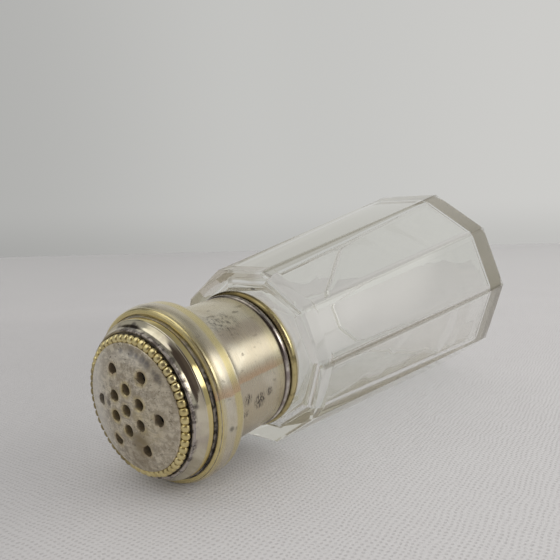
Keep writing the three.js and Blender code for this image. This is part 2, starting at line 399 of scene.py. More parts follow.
def satin_silver(name):
    """Worn silver plate: yellow stains, specks, a brass crest and brushing round the axis."""
    look = Look(name)
    blotches = look.noise(90.0, 5.0, 0.62, distortion=0.6)
    base = look.mix(look.ramp(blotches, 0.36, 0.66), (0.56, 0.50, 0.395), (0.72, 0.675, 0.57))
    yellow = look.ramp(look.noise(48.0, 3.0, 0.5, distortion=0.4), 0.44, 0.66, 0.0, 0.45)
    base = look.mix(yellow, base, (0.62, 0.55, 0.38))
    speckle = look.noise(700.0, 3.0, 0.6, look.stretched(1, 1, 0.5))
    specks = look.ramp(look.plus(speckle, look.times(blotches, 0.14)), 0.69, 0.76, 0.0, 0.5)
    base = look.mix(specks, base, (0.20, 0.17, 0.13))
    yellow_band = look.band(look.wander(look.z, 220.0, 0.35), *WORN_CREST, 0.12)
    base = look.mix(look.times(yellow_band, 0.9), base, BRASS)
    brushing = look.noise(1.0, 5.0, 0.65, look.around(5.0, 14.0))
    rough = look.plus(look.ramp(brushing, 0.3, 0.75, 0.25, 0.34), look.times(specks, 0.3))
    look.set(Metallic=1.0, Base_Color=base, Roughness=rough)
    fine = look.noise(900.0, 4.0, 0.6)
    uneven = look.noise(170.0, 2.0)
    heights = look.plus(look.times(brushing, 0.35), look.times(fine, 0.3), look.times(uneven, 3.0))
    look.bump(heights, 0.16, 0.00006)
    return look, base


def sleeve_look():
    """Silver plate with brass showing on its edges, stains, scratches, a dirty groove, painted
    reflections, and painted shade inside and in the crease.
    """
    look, base = satin_silver("worn_silver_sleeve")
    degrees = look.wander(look.times(look.angle, 180 / math.pi), 260.0, 3.0)
    flank = look.band(look.z, *FLANK, 0.8)

    # Brass showing on the rolled rear edge and on both sides of the band
    height = look.wander(look.z, 110.0, 1.6)
    fading = look.ramp(look.math("ABSOLUTE", look.angle), 0.9, 1.6, 0.9, 0.35)
    roll = look.band(look.wander(look.z, 150.0, 0.6), *REAR_ROLL, 0.2)
    gold = look.most(look.times(roll, fading), look.times(look.band(height, *BAND_BACK, 0.35), 0.9),
                     look.times(look.band(height, *FRONT_CREST, 0.4), 0.55))
    base = look.mix(gold, base, (0.66, 0.57, 0.30))

    # Painted reflections: a coppery streak and a brown painted shade above it; yellow-brown below and
    # near the mouth
    streak_reflection = look.times(look.ramp(degrees, 7.6, 9.0), look.fall(degrees, 9.5, 17.5), 0.8)
    base = look.mix(streak_reflection, base, (0.62, 0.43, 0.28))
    shade = look.times(look.band(degrees, 38.0, 52.0, 4.0), flank, 0.62)
    base = look.mix(shade, base, (0.47, 0.39, 0.31))
    low = look.times(look.fall(look.wander(look.z, 150.0, 3.0), 6.6, 9.6), 0.55)
    base = look.mix(low, base, (0.58, 0.51, 0.31))
    patchy = look.ramp(look.noise(110.0, 4.0), 0.35, 0.6, 0.25, 0.7)
    under = look.times(look.ramp(look.angle, 0.1, -0.25), flank, patchy)
    base = look.mix(under, base, (0.58, 0.50, 0.36))
    spot = look.times(look.patch(-11, 28.7, 20.8, 0.55, 0.35), 0.75)
    base = look.mix(spot, base, (0.18, 0.17, 0.14))

    # Scratches: thin crossing strokes where two noises pass their middle, in a few small fields
    strokes = []
    for turns, rate in ((13.0, 2.3), (9.0, 3.4)):
        wavy = look.noise(1.0, 1.0, 0.5, look.around(turns, rate), 0.6)
        strokes.append(look.math("ABSOLUTE", look.math("SUBTRACT", wavy, 0.5)))
    near = look.patches((-12, 15.2, SLEEVE, 1.9, 0.6), (-8, 11.9, SLEEVE, 1.0, 0.4),
                        (-17, 19.9, SLEEVE, 0.9, 0.4), (-6, 19.5, SLEEVE, 1.3, 0.5))
    broken = look.ramp(look.noise(900.0, 2.0), 0.42, 0.6)
    high = look.times(look.patch(57, 17.2, SLEEVE, 4.2, 1.4), broken, 0.7)
    scratch = look.times(look.most(near, high), look.fall(look.math("MINIMUM", *strokes), 0.026, 0.05))
    base = look.mix(scratch, base, (0.04, 0.03, 0.03))

    # Painted shade in the crease at the mouth and inside the sleeve, and dirt in the groove in front
    # of the band
    crease_shade = look.ramp(look.wander(look.z, 300.0, 0.2), 5.75, 6.3, 0.75, 0.0)
    base = look.mix(crease_shade, base, (0.16, 0.13, 0.10))
    # Painted shade: the inner surfaces of the sleeve and behind the band are darkened
    behind_band = look.times(look.fall(look.r, 20.1, 20.2), look.band(look.z, 25.0, 30.9, 0.05))
    inside = look.most(look.fall(look.r, 16.8, 17.0), behind_band)
    groove = look.times(look.fall(look.r, 19.05, 19.15), look.ramp(look.z, 30.5, 30.6))
    dark_recesses = look.most(look.times(inside, look.fall(look.z, 31.0, 31.4)), groove)
    flakes = look.ramp(look.noise(300.0, 3.0), 0.35, 0.6, 0.3, 1.0)
    dark_recesses = look.times(dark_recesses, look.without(look.times(look.sector(35, 150, 0.4), flakes, 0.8)))
    base = look.mix(dark_recesses, base, look.dark_grain())
    look.set(Base_Color=base, Metallic=look.without(look.times(dark_recesses, 0.8)))
    return look.material


def wire_look():
    """Bright metal, with painted shade along both edges and on the upper side."""
    look = Look("bright_wire")
    cloud = look.noise(260.0, 4.0, 0.6, look.stretched(1, 1, 0.35))
    base = look.mix(look.ramp(cloud, 0.38, 0.62), (0.34, 0.29, 0.275), (0.76, 0.72, 0.65))
    # Painted shade along both edges of the wire
    edges = look.most(look.fall(look.z, WIRE_FOOT, WIRE_FOOT + 0.2),
                      look.ramp(look.z, WIRE_TOP - 0.3, WIRE_TOP))
    base = look.mix(look.times(edges, 0.8), base, (0.14, 0.11, 0.09))
    # Painted shade on the upper side
    patchy = look.ramp(look.noise(420.0, 3.0), 0.35, 0.6, 1.0, 0.6)
    shade = look.times(look.ramp(look.angle, 0.55, 0.9, 0.0, 0.85), patchy)
    base = look.mix(shade, base, (0.17, 0.145, 0.125))
    look.set(Metallic=1.0, Base_Color=base, Roughness=look.ramp(cloud, 0.3, 0.7, 0.22, 0.14))
    look.bump(look.noise(500.0, 3.0), 0.12, 0.00005)
    return look.material


def moulding_look():
    """Polished silver with purple tarnish, a brass crest, a dull lip, painted dark reflections and
    darker corners.
    """
    look = Look("polished_silver_moulding")
    cloud = look.noise(80.0, 4.0, 0.6, distortion=0.8)
    base = look.mix(look.ramp(cloud, 0.4, 0.65), (0.52, 0.47, 0.36), (0.70, 0.65, 0.52))
    purple = look.ramp(look.noise(120.0, 4.0, 0.6), 0.5, 0.66, 0.0, 0.6)
    base = look.mix(purple, base, (0.42, 0.35, 0.355))
    crest = look.fall(look.wander(look.z, 200.0, 0.5), 32.8, 33.05)
    base = look.mix(look.times(crest, 0.92), base, BRASS)

    # The lip beside the beads is dull and smudged; the dark curls on the flank and lip are painted
    # reflections
    lip = look.ramp(look.wander(look.z, 260.0, 0.4), 34.95, 35.15)
    base = look.mix(lip, base, (0.50, 0.455, 0.42))
    smear = look.ramp(look.noise(620.0, 4.0, 0.65, look.stretched(1, 1, 0.6)), 0.47, 0.58, 0.0, 0.9)
    smudge = look.times(smear, look.ramp(look.z, 34.3, 35.1))
    base = look.mix(smudge, base, (0.12, 0.10, 0.09))
    # Painted reflections: dark curls on the flank and at the lip
    dark_reflection_curls = look.patches((88, 34.3, 17.0, 0.8, 0.4), (92, 33.8, 17.2, 0.9, 0.4),
                        (98, 34.6, 16.9, 0.8, 0.4), (54, 35.2, 16.85, 0.35, 0.25),
                        (84, 35.3, 16.85, 0.4, 0.25), (44, 35.1, 16.85, 0.7, 0.4),
                        (110, 33.8, 17.4, 0.7, 0.6), (8, 34.4, 17.0, 0.5, 0.4))
    dark_reflection_curls = look.times(dark_reflection_curls, look.ramp(look.noise(260.0, 3.0), 0.3, 0.5, 0.5, 0.85))
    base = look.mix(dark_reflection_curls, base, (0.10, 0.085, 0.08))
    patchy = look.ramp(look.noise(150.0, 3.0), 0.35, 0.6, 0.4, 0.9)
    warm = look.times(look.band(look.angle, 1.75, 2.6, 0.2), patchy)
    base = look.mix(warm, base, (0.40, 0.34, 0.22))

    # Darker in both corners, thinner on the upper side: dirt in the lower corner at the groove,
    # painted shade in the inner corner beside the beads
    dark_recesses = look.most(look.fall(look.z, 31.66, 31.78), look.fall(look.r, 16.2, 16.28))
    dark_recesses = look.times(dark_recesses, look.ramp(look.angle, 0.5, 1.2, 1.0, 0.7))
    base = look.mix(dark_recesses, base, look.dark_grain())
    polish = look.ramp(look.noise(60.0, 5.0, 0.7), 0.4, 0.7, 0.06, 0.13)
    rough = look.plus(polish, look.times(look.most(dark_recesses, smudge, lip), 0.4))
    look.set(Metallic=look.without(look.times(dark_recesses, 0.8)), Base_Color=base, Roughness=rough)
    look.bump(look.noise(1.0, 4.0, 0.6, look.around(4.0, 12.0)), 0.10, 0.00005)
    return look.material


def plate_look():
    """Dull mottled metal, pitted and stained, with brass showing round the holes, and painted shade
    inside them and underneath.
    """
    look = Look("dull_tarnished_plate")
    mottle = look.noise(560.0, 6.0, 0.80)
    cloud = look.noise(85.0, 4.0, 0.6, distortion=0.5)
    base = look.mix(look.ramp(mottle, 0.40, 0.60), (0.36, 0.31, 0.24), (0.74, 0.685, 0.57))
    base = look.mix(look.ramp(cloud, 0.46, 0.68, 0.0, 0.3), base, (0.46, 0.39, 0.27))
    holes = [(circle * math.cos(math.radians(turn)), circle * math.sin(math.radians(turn)))
             for circle, turn in HOLES]

    # Brass round the holes and on one worn patch between them
    halo = look.most(*[look.blob(x, y, PLATE_TOP - 0.5, 1.9, 0.6) for x, y in holes])
    wear = look.times(halo, look.ramp(look.noise(200.0, 3.0), 0.36, 0.6, 0.15, 0.9))
    rubbed = look.times(look.blob(6.0, -1.5, PLATE_TOP - 0.4, 3.5, 2.5),
                        look.ramp(look.noise(240.0), 0.4, 0.6, 0.2, 0.8))
    base = look.mix(look.most(wear, rubbed), base, (0.58, 0.49, 0.27))

    # Dark patches along the upper right edge beside the beads, a pale arc above, brown below and a
    # dark nick
    blotches = look.patches(*[(angle, PLATE_TOP - 1.5, r, size, 0.55) for angle, r, size in (
        (36, 12.9, 0.5), (41, 12.9, 0.9), (47, 12.9, 0.6), (57, 12.8, 0.9), (64, 13.0, 0.9),
        (72, 12.8, 0.6), (80, 12.9, 0.9), (95, 12.8, 0.5))])
    dark = look.times(blotches, look.ramp(look.noise(380.0, 3.0), 0.30, 0.52, 0.6, 0.95))
    base = look.mix(dark, base, (0.075, 0.07, 0.085))
    rim = look.band(look.wander(look.r, 200.0, 0.6), 10.6, 13.2, 0.8)
    base = look.mix(look.times(rim, look.sector(60, 120, 0.3), 0.35), base, (0.84, 0.80, 0.74))
    brown = look.times(look.blob(3.0, -6.8, PLATE_TOP - 0.5, 2.8, 1.8),
                       look.ramp(look.noise(260.0, 4.0), 0.36, 0.6, 0.45, 1.0))
    base = look.mix(brown, base, (0.30, 0.245, 0.15))
    pits = look.ramp(look.noise(1100.0, 3.0, 0.6), 0.61, 0.69, 0.0, 0.8)
    base = look.mix(pits, base, (0.13, 0.11, 0.08))
    nick = look.patch(174.5, PLATE_TOP - 0.35, 6.4, 0.75, 0.25)
    base = look.mix(look.times(nick, 0.75), base, (0.10, 0.08, 0.06))

    # Brass-brown inside the holes and underneath, darkened as painted shade inside the cap
    under = look.fall(look.z, PLATE_TOP - 2.9, PLATE_TOP - 2.4)
    inner = look.most(*[look.blob(x, y, PLATE_TOP - 1.6, 1.65, 0.3) for x, y in holes])
    base = look.mix(look.most(under, look.times(inner, 0.8)), base, (0.38, 0.30, 0.20))

    # Fine wear along one direction, then the broad changes from side to side
    streaks = look.noise(1.0, 5.0, 0.75, look.stretched(260.0, 1300.0, 400.0))
    base = look.mix(look.ramp(streaks, 0.50, 0.62, 0.0, 0.6), base, (0.35, 0.31, 0.25))
    base = look.mix(look.times(look.ramp(look.x, 3.0, 11.0), 0.3), base, (0.50, 0.44, 0.33))
    base = look.mix(look.times(look.ramp(look.x, -5.0, -12.0), 0.62), base, (0.80, 0.775, 0.72))
    bottom = look.times(look.blob(1.0, -11.0, PLATE_TOP - 1.2, 3.5, 2.5), 0.45)
    base = look.mix(bottom, base, (0.34, 0.28, 0.19))
    look.set(Metallic=0.9, Base_Color=base, Roughness=look.ramp(mottle, 0.3, 0.7, 0.40, 0.56))
    look.bump(look.plus(mottle, look.times(pits, -1.5)), 0.3, 0.00008)
    return look.material


def brass_look(name, darken, rough):
    """Flecked brass; darken adds the patina, wear and painted light of one piece."""
    look = Look(name)
    cloud = look.noise(160.0, 4.0, 0.6)
    base = look.mix(look.ramp(cloud, 0.35, 0.7), BRASS, BRIGHT_BRASS)
    flecks = look.ramp(look.noise(500.0, 3.0, 0.6), 0.58, 0.72, 0.0, 0.5)
    base = darken(look, look.mix(flecks, base, (0.30, 0.23, 0.10)))
    rough = look.ramp(cloud, 0.3, 0.7, rough + 0.08, rough - 0.04)
    look.set(Metallic=1.0, Base_Color=base, Roughness=rough)
    look.bump(look.noise(700.0, 3.0), 0.12, 0.00005)
    return look.material


def bead_patina_and_shade(look, base):
    """Patina between the beads, a painted dark reflection between 9 and 47 degrees, darker beads at
    the left, and darker random patches.
    """
    patina = look.add("ShaderNodeAttribute", attribute_name="patina").outputs["Fac"]
    base = look.mix(look.ramp(look.wander(patina, 600.0, 0.3), 0.30, 0.62), base, (0.11, 0.08, 0.04))
    # Painted dark reflection on the inner half of the beads between 9 and 47 degrees
    side = look.times(look.sector(9, 47, 0.08), look.ramp(look.r, 15.0, 15.6, 0.4, 0.0))
    left = look.most(look.ramp(look.angle, 2.4, 2.8), look.fall(look.angle, -2.0, -1.7))
    base = look.mix(look.times(left, 0.75), base, (0.20, 0.155, 0.08))
    dull = look.ramp(look.noise(130.0, 2.0), 0.5, 0.66, 0.0, 0.2)
    return look.mix(look.most(side, dull), base, (0.27, 0.20, 0.10))


def collar_flecks_and_light(look, base):
    """Dark flecks, painted shade on the tops, a painted highlight on one stretch, and darker above and
    below the bead.
    """
    dark_recesses = look.most(look.fall(look.z, 1.2, 1.5), look.ramp(look.z, 3.2, 3.42))
    # Painted shade on the tops between 56 and 150 degrees, and a painted highlight between 14 and 46
    # degrees
    shaded_tops = look.times(look.sector(56, 150, 0.25), 0.97)
    yellow_band = look.sector(14, 46, 0.12)
    flecks = look.ramp(look.noise(420.0, 4.0, 0.6), 0.45, 0.7, 0.35, 0.85)
    dark = look.most(shaded_tops, look.times(flecks, look.without(yellow_band)))
    base = look.mix(dark, base, (0.17, 0.13, 0.055))
    base = look.mix(look.times(yellow_band, 0.6), base, (0.95, 0.85, 0.50))
    return look.mix(look.times(dark_recesses, 0.85), base, (0.07, 0.055, 0.03))


# Painted shade: the ring inside the cap is darkened all over
def dark_inside(look, base):
    return look.mix(0.8, base, (0.22, 0.165, 0.10))


def crystal_look():
    """Clear glass: edges outside tinted as painted reflections, slight folds on the inner wall."""
    look = Look("crystal_glass")
    step = 2 * math.pi / FACETS
    around = look.math("WRAP", look.plus(look.angle, math.pi / 2 - step / 2), step / 2, -step / 2)
    from_edge = look.times(look.math("ABSOLUTE", around), look.r)
    corner = look.ramp(look.z, -SHOULDER, 0.0, FOOT_CORNER, SHOULDER_CORNER)
    corner.node.interpolation_type = "LINEAR"
    depth = look.math("SUBTRACT", corner, look.r)

    # Painted reflection: the long edges of the facets are tinted darker, strongest on the edges that
    # catch the dark side of the room
    facing = look.most(look.band(look.angle, -0.3, 0.3, 0.02), look.band(look.angle, 0.95, 1.55, 0.02),
                       look.band(look.angle, 1.6, 2.3, 0.02), 0.3)
    arris = look.times(look.fall(look.wander(from_edge, 60.0, 0.3), 0.45, 1.0),
                       look.fall(look.z, -1.2, -0.4),
                       look.ramp(look.z, 0.6 - SHOULDER, 1.2 - SHOULDER),
                       look.fall(depth, 0.7, 1.1), facing)
    tint = look.mix(arris, (0.985, 0.985, 0.965), (0.47, 0.44, 0.365))
    # Painted reflections: a warm darker tint on the round of the shoulder, and a grey tint on part of
    # the foot's rim
    round_top = look.times(look.ramp(look.z, -4.8, -4.0), look.band(look.angle, 1.3, 3.0, 0.08),
                           look.ramp(look.r, 20.3, 20.9), 0.85)
    tint = look.mix(round_top, tint, (0.66, 0.60, 0.50))
    foot_rim = look.times(look.fall(look.z, 5.3 - SHOULDER, 5.6 - SHOULDER),
                          look.band(look.angle, -0.62, 0.0, 0.02), look.fall(depth, 2.2, 2.6))
    tint = look.mix(foot_rim, tint, (0.47, 0.445, 0.39))

    # A dark speck on the shoulder
    speck = look.vector("SUBTRACT", look.coords, (4.55 * MM, 18.43 * MM, 0))
    speck = look.add("ShaderNodeMapping", {
        "Vector": speck, "Rotation": (0, 0, -0.35), "Scale": (0.55, 1.5, 1.0)}).outputs[0]
    mark = look.ramp(look.vector("LENGTH", speck), 0.3 * MM, 0.5 * MM, 0.95, 0.0)
    tint = look.mix(mark, tint, (0.02, 0.02, 0.02))
    look.set(Base_Color=tint, Roughness=0.0, IOR=1.52, Transmission_Weight=1.0)
    inside = look.times(look.ramp(depth, 2.2, 2.8), look.band(look.z, -98.5, -2.5, 0.5))
    folds = look.times(look.noise(36.0, 1.5, 0.45, distortion=0.4), inside, 20.0)
    look.bump(look.plus(look.noise(26.0, 1.0, 0.4), folds), 0.05, 0.0004)

    # Shadow and diffuse rays pass straight through, and rays trapped in the glass end softly
    path = look.add("ShaderNodeLightPath").outputs
    passing = look.most(path["Is Shadow Ray"], path["Is Diffuse Ray"])
    glass = look.blend(passing, look.shader, look.clear((0.95, 0.955, 0.95)))
    trapped = look.most(look.above(path["Glossy Depth"], 2.5),
                        look.above(path["Transmission Depth"], 7.5))
    look.show(look.blend(trapped, glass, look.clear((0.84, 0.825, 0.77))))
    return look.material


def plaster_look():
    look = Look("plaster")
    grain = look.noise(700.0, 5.0, 0.6)
    base = look.mix(look.ramp(grain, 0.3, 0.7), (0.66, 0.62, 0.53), (0.80, 0.76, 0.67))
    base = look.mix(look.ramp(look.r, 15.9, 16.6, 0.0, 0.75), base, (0.26, 0.235, 0.19))
    look.set(Base_Color=base, Roughness=0.9)
    look.bump(grain, 0.5, 0.0001)
    return look.material


def leather_look():
    look = Look("washer_leather")
    grain = look.noise(900.0, 5.0, 0.6)
    base = look.mix(look.ramp(grain, 0.3, 0.7), (0.12, 0.07, 0.04), (0.24, 0.15, 0.09))
    look.set(Base_Color=base, Roughness=0.75)
    look.bump(grain, 0.5, 0.0001)
    return look.material


# Pieces

def soft_edges(obj, width):
    """Rounds the long edges between the facets."""
    bm = bmesh.new()
    bm.from_mesh(obj.data)
    long_edges = []
    for edge in bm.edges:
        if len(edge.link_faces) != 2:
            continue
        way = edge.verts[0].co - edge.verts[1].co
        if abs(way.z) > 20 * MM and edge.calc_face_angle(0) > math.radians(15):
            long_edges.append(edge)
    bmesh.ops.bevel(bm, geom=long_edges, offset=width * MM, segments=4, profile=0.5,
                    affect="EDGES", clamp_overlap=True)
    bmesh.ops.recalc_face_normals(bm, faces=bm.faces)
    for face in bm.faces:
        face.smooth = True
    bm.to_mesh(obj.data)
    bm.free()


def bottle():
    """Tapered glass with its facets, its hollow and the round neck."""
    per_apothem = 1 / math.cos(math.pi / FACETS)

    def corner(z):
        return FOOT_CORNER + (SHOULDER_CORNER - FOOT_CORNER) * z / SHOULDER

    turn = -90 + 180 / FACETS
    arris, edge = 0.55, 0.12
    outer = rounded([
        (0, 0), (corner(0) - arris, 0, edge), (corner(arris), arris, edge),
        (corner(SHOULDER - arris), SHOULDER - arris, edge),
        (corner(SHOULDER) - arris, SHOULDER, edge),
        (NECK_RADIUS * 1.05, SHOULDER), (0, SHOULDER),
    ], 2)
    inset = GLASS_WALL * per_apothem
    low, high = FLOOR_WALL, SHOULDER - SHOULDER_WALL
    fillet = 4.0
    cavity = [(0, low)]
    cavity += arc(corner(low + fillet) - inset - fillet, low + fillet, fillet, fillet, -90, 0, 8)
    cavity += arc(corner(high - fillet) - inset - fillet, high - fillet, fillet, fillet, 0, 90, 8)
    cavity += [(0, high)]
    body = turned("crystal_bottle", outer, FACETS, sharp=12.0, first=turn)
    soft_edges(body, 0.35)
    hollow = turned("hollow", cavity, FACETS, sharp=12.0, first=turn)
    soft_edges(hollow, 1.6)
    lip = 0.8
    rim = arc(NECK_RADIUS - lip, NECK_TOP - lip, lip, lip, 0, 90, 6)
    neck = metal("neck", [(0, -2), (NECK_RADIUS, -2)] + rim + [(0, NECK_TOP)], steps=96)
    start, end = -9.4, NECK_TOP + 2
    bore = metal("bore", [(0, start), (BORE, start), (BORE, end), (0, end)], steps=96)
    combine(body, neck, "UNION")
    combine(body, hollow, "DIFFERENCE")
    combine(body, bore, "DIFFERENCE")
    body.data.set_sharp_from_angle(angle=math.radians(12))
    finish_piece(body, "glass_body", "bottle", crystal_look())


def screw(up, a, phase=0.0):
    """Runs from 0 to 1 and back once along each pitch of the thread."""
    turn = up / PITCH - a / (2 * math.pi)
    return 0.5 + 0.5 * math.cos(2 * math.pi * (turn + phase))


def within_one(value):
    return min(1.0, max(0.0, value))


def collar():
    """Half-round bead, threaded tube, and a lip turned in over the glass."""
    underside, bead_top, lip_below, top = 1.2, 3.3, 12.0, 12.9
    tube, inner, mouth = 15.2, 14.2, 8.6
    profile = [(15.3, underside)] + arc(17.0, 2.3, 1.15, 1.12, -80, 80, 24)
    profile += [(16.2, bead_top + 0.12), (tube, bead_top + 0.15)]
    steps = 72
    profile += [(tube, bead_top + 0.2 + (top - bead_top - 0.3) * i / steps) for i in range(steps + 1)]
    profile += [(15.0, top), (mouth, top), (mouth, lip_below), (inner, lip_below), (inner, underside)]

    def thread(r, z, a):
        if abs(r - tube) > 1e-6:
            return r
        up = z - SHOULDER
        fade = within_one((up - bead_top - 0.6) / 1.2) * within_one((top - up - 0.1) / 0.8)
        return 15.1 + 0.32 * fade * screw(up, a) ** 0.8

    obj = metal("threaded_collar", profile, steps=192, sharp=35.0, radius_of=thread)
    look = brass_look("collar_brass", collar_flecks_and_light, rough=0.22)
    finish_piece(obj, "neck_collar", "bottle", look)


def cement():
    """Plaster round the neck, with the bed that shows as a pale line under the bead."""
    inner, under_collar, outer = 12.75, 14.05, 17.1
    low, bed, top = 0.05, 1.12, 10.8
    profile = [(inner, low), (outer, low)] + arc(outer, 0.6, 0.3, 0.5, -60, 60, 6)
    profile += [(outer, bed), (under_collar, bed), (under_collar, top), (inner, top)]

    def lumpy(r, z, a):
        return r + (0.08 * math.sin(7 * a) + 0.05 * math.sin(17 * a + 1)) if r > 17 else r

    obj = metal("plaster_bed", profile, steps=160, sharp=35.0, radius_of=lumpy)
    finish_piece(obj, "collar_cement", "bottle", plaster_look())


def thread_ring():
    """Threaded liner inside the cap, with the flange that presses on the washer."""
    outer, inner, flange = 16.1, 15.55, 9.0
    low, thread_top, seat, top = CAP_MOUTH + 0.3, 13.9, 14.5, 15.3
    profile = [(outer, low), (outer, top), (flange, top), (flange, seat), (15.5, seat)]
    steps = 74
    profile += [(inner, thread_top - (thread_top - low) * i / steps) for i in range(steps + 1)]

    def thread(r, z, a):
        return r if abs(r - inner) > 1e-6 else 15.74 - 0.24 * screw(z - SHOULDER, a, 0.5)

    obj = metal("threaded_ring", profile, steps=144, sharp=35.0, radius_of=thread)
    look = brass_look("ring_brass", dark_inside, rough=0.35)
    finish_piece(obj, "cap_thread_ring", "cap", look)


def mouth_wire():
    """Half-round rib at the mouth of the cap."""
    inner, half = 16.42, (WIRE_TOP - WIRE_FOOT) / 2
    outline = arc(16.95, (WIRE_FOOT + WIRE_TOP) / 2, 0.62, half, -90, 90, 16)
    outline += [(inner, WIRE_TOP), (inner, WIRE_FOOT)]
    finish_piece(metal("mouth_rib", outline, steps=192), "mouth_wire", "cap", wire_look())


def sleeve():
    """Straight flank, flaring hollow, rolled band and groove; then the inside back down."""
    foot, top = WIRE_TOP + 0.02, 31.6
    flare_r, flare_z = 20.7, 20.6
    groove, underside, inner_edge = 30.7, 30.8, 16.6
    outline = [(17.05, foot), (SLEEVE, WIRE_TOP + 0.3), (SLEEVE, WIRE_TOP + 0.45), (SLEEVE, 20.3)]
    outline += arc(flare_r, flare_z, 3.5, 4.1, 180, 102, 20)
    outline += arc(20.16, 25.02, 0.5, 0.5, -80, 4, 10)
    outline += through([(20.67, 25.3), (20.86, 28.4), (20.35, 30.3)], 24)[:-1]
    outline += arc(19.25, 30.3, 1.12, 0.82, 6, 92, 12)
    outline += [(19.1, 31.06), (19.02, 30.9), (18.98, groove), (18.8, groove), (18.8, top)]
    outline += [(inner_edge, top), (inner_edge, underside), (18.0, underside)]
    outline += [(19.2, 30.0), (20.05, 28.4), (19.9, 25.9)]
    outline += arc(flare_r - SHEET, flare_z, 3.5, 5.3, 95, 180, 12)
    outline += [(16.4, foot)]
    finish_piece(metal("worn_sleeve", outline), "cap_sleeve", "cap", sleeve_look())


def moulding():
    """Small step at the foot, a sweep up to the lip, and the ledge under plate and beads."""
    foot, inner_foot = 31.65, 17.0
    ledge, underside, seat_edge = 34.6, 33.8, 12.3
    outline = [(17.8, foot)]
    outline += arc(18.28, 31.9, 0.34, 0.24, -80, 0, 6)
    outline += through([(18.6, 32.0), (18.54, 32.45), (18.42, 32.95)], 8)
    outline += arc(18.16, 32.98, 0.24, 0.24, 12, 80, 6)
    outline += through([(18.12, 33.24), (17.46, 33.76), (17.08, 34.28), (16.94, 34.72),
                        (16.86, 35.25)], 28)
    outline += arc(16.54, 35.34, 0.32, 0.28, 0, 175, 12)
    outline += [(16.22, 35.3), (16.2, ledge), (12.6, ledge)]
    outline += [(seat_edge, ledge), (seat_edge, underside), (15.5, underside)]
    outline += [(inner_foot, 32.6), (inner_foot, foot)]
    finish_piece(metal("polished_moulding", outline), "top_moulding", "cap", moulding_look())


def beads():
    """Squarish beads on a core wire; the patina attribute is high between and below them."""
    squareness = 3.2
    wide, long, tall = 1.06, 1.04, 0.98
    bm = bmesh.new()
    layer = bm.verts.layers.float.new("patina")
    half_step = math.pi * BEAD_CIRCLE / BEADS
    middle_z = SHOULDER + BEAD_Z + 0.25
    for k in range(BEADS):
        a = 2 * math.pi * k / BEADS
        radial = Vector((math.cos(a), math.sin(a), 0))
        along = Vector((-math.sin(a), math.cos(a), 0))
        grown = 1 + 0.04 * math.sin(k * 2.4)
        centre = radial * (BEAD_CIRCLE - 0.08 + 0.04 * math.sin(k * 1.7)) + Vector((0, 0, middle_z))
        made = bmesh.ops.create_uvsphere(bm, u_segments=20, v_segments=14, radius=1.0)
        for v in made["verts"]:
            p = v.co.copy()
            full = (1 - min(1.0, abs(p.z)) ** squareness) ** (1 / squareness)
            fat = full / max(0.01, math.hypot(p.x, p.y))
            out, up = p.x * fat, p.y * fat
            v[layer] = max(0.0, -0.45 - up) + 2.6 * max(0.0, abs(p.z) - 0.85)
            across = radial * out * wide * grown
            v.co = (centre + across + along * p.z * half_step * long + Vector((0, 0, tall * up))) * MM

    # The core wire
    ring = arc(BEAD_CIRCLE, middle_z - 0.15, 0.72, 0.66, 0, 330, 11)
    rows = []
    for k in range(BEADS * 2):
        a = math.pi * k / BEADS
        row = []
        for r, z in ring:
            v = bm.verts.new((r * math.cos(a) * MM, r * math.sin(a) * MM, z * MM))
            v[layer] = 0.62
            row.append(v)
        rows.append(row)
    for a, b in zip(rows, rows[1:] + rows[:1]):
        for i in range(len(ring)):
            j = (i + 1) % len(ring)
            bm.faces.new((a[i], b[i], b[j], a[j]))
    obj = object_from("beaded_wire", bm, sharp=60.0)
    look = brass_look("bead_brass", bead_patina_and_shade, rough=0.30)
    finish_piece(obj, "bead_ring", "cap", look)


def dome(r):
    """Height of the plate's upper side at a radius."""
    return PLATE_TOP - (DOME - math.sqrt(DOME * DOME - r * r))


def drills():
    """Pins that cut the holes: slightly uneven, wider where the edge is worn."""
    bm = bmesh.new()
    sides = 40
    for n, (circle, turn) in enumerate(HOLES):
        a = math.radians(turn)
        x, y = circle * math.cos(a), circle * math.sin(a)
        grown = 1 + 0.03 * math.sin(3.1 * n)
        top = dome(circle) + SHOULDER
        rows = []
        for wider, up in ((0.0, -4), (0.0, -0.22), (0.05, -0.1), (0.16, -0.02), (0.5, 0.16)):
            r, z = HOLE_RADIUS + wider, top + up
            ring = []
            for k in range(sides):
                b = 2 * math.pi * k / sides
                wave = 1 + 0.02 * math.sin(3 * b + n) + 0.012 * math.sin(5 * b + 2 * n)
                ring.append(bm.verts.new(((x + r * grown * wave * math.cos(b)) * MM,
                                          (y + r * grown * wave * math.sin(b)) * MM, z * MM)))
            rows.append(ring)
        bm.faces.new(rows[0])
        bm.faces.new(list(reversed(rows[-1])))
        for low, high in zip(rows, rows[1:]):
            bridge(bm, low, high)
    return object_from("drills", bm)


def plate():
    """Domed sheet with a rolled edge, a flange standing on the ledge, and thirteen holes."""
    edge = PLATE_RADIUS - 0.25
    ledge, flange = 34.75, 13.05
    outline = [(0, dome(0))] + [(r, dome(r)) for r in (2, 4, 6, 8, 10, 12, 13.4)]
    outline += arc(edge - 0.05, dome(edge) - 0.28, 0.28, 0.28, 80, -60, 8)
    outline += [(13.9, dome(edge) - 0.65), (13.85, ledge), (flange, ledge)]
    outline += [(flange, dome(flange) - 1.5)] + [(r, dome(r) - 1.7) for r in (12, 10, 8, 6, 4, 2, 0)]
    obj = metal("domed_plate", outline, steps=128, sharp=35.0)
    combine(obj, drills(), "DIFFERENCE")
    obj.data.set_sharp_from_angle(angle=math.radians(40))
    finish_piece(obj, "perforated_plate", "cap", plate_look())


# Floor, surroundings and lamps

# Level directions in which the camera looks and to its right
VIEW = Vector((-0.6150, 0.7885, 0.0))
RIGHT = Vector((0.7885, 0.6150, 0.0))


